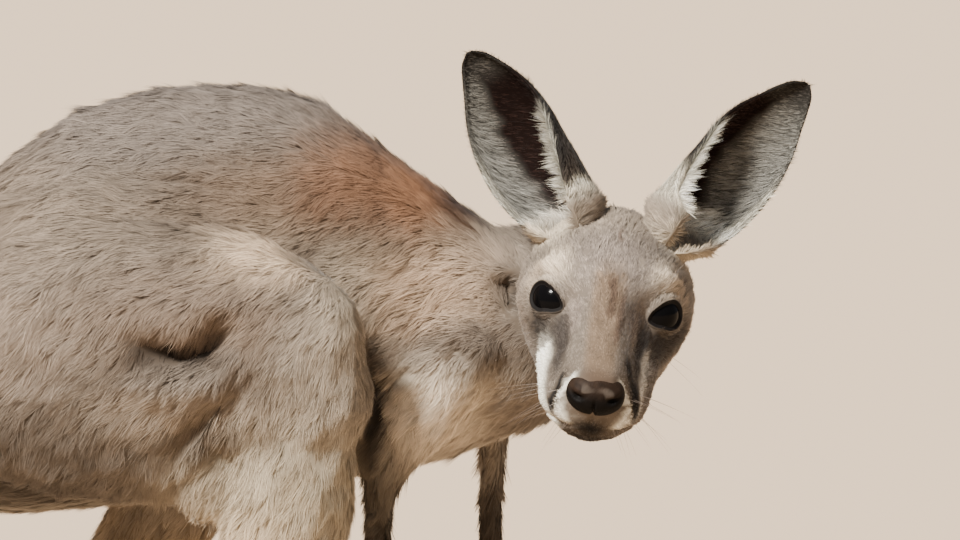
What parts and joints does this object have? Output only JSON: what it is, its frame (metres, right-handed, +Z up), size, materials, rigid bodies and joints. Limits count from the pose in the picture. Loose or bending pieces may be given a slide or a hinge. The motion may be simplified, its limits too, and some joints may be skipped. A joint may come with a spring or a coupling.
{
  "type": "young female red kangaroo, life-size still model",
  "caption": "Crouching young kangaroo on its hind feet, hands and tail, back arched and head turned to its right, as a life-size still model.",
  "frame": {"origin": "on the floor, under the middle of the model's bounding box", "axes": "+X the way the body faces, +Y the animal's left, +Z up"},
  "size_m": [0.9912, 0.2728, 0.4066],
  "materials": {
    "coat": "short dense fur, grey-taupe over beige and cream, with rufous shoulders and flank",
    "ear_coat": "thin skin with fine silvery hairs and a dark brown inside",
    "nose_skin": "bare dark granular skin, slightly moist",
    "eye": "wet, glossy, almost black",
    "claw": "smooth dark horn"
  },
  "bodies": {
    "root": {"chest": "coat", "claw_fifth_left": "claw", "claw_fifth_right": "claw", "claw_finger_1_left": "claw", "claw_finger_1_right": "claw", "claw_finger_2_left": "claw", "claw_finger_2_right": "claw", "claw_finger_3_left": "claw", "claw_finger_3_right": "claw", "claw_finger_4_left": "claw", "claw_finger_4_right": "claw", "claw_finger_5_left": "claw", "claw_finger_5_right": "claw", "claw_fourth_left": "claw", "claw_fourth_right": "claw", "claw_second_left": "claw", "claw_second_right": "claw", "ear_left": "ear_coat", "ear_right": "ear_coat", "eye_left": "eye", "eye_right": "eye", "foot_left": "coat", "foot_right": "coat", "forearm_left": "coat", "forearm_right": "coat", "hand_left": "coat", "hand_right": "coat", "head": "coat", "lower_jaw": "coat", "neck": "coat", "nose": "nose_skin", "rump": "coat", "shank_left": "coat", "shank_right": "coat", "tail_base": "coat", "tail_middle": "coat", "tail_tip": "coat", "thigh_left": "coat", "thigh_right": "coat", "trunk": "coat", "upper_arm_left": "coat", "upper_arm_right": "coat"}
  },
  "joints": []
}
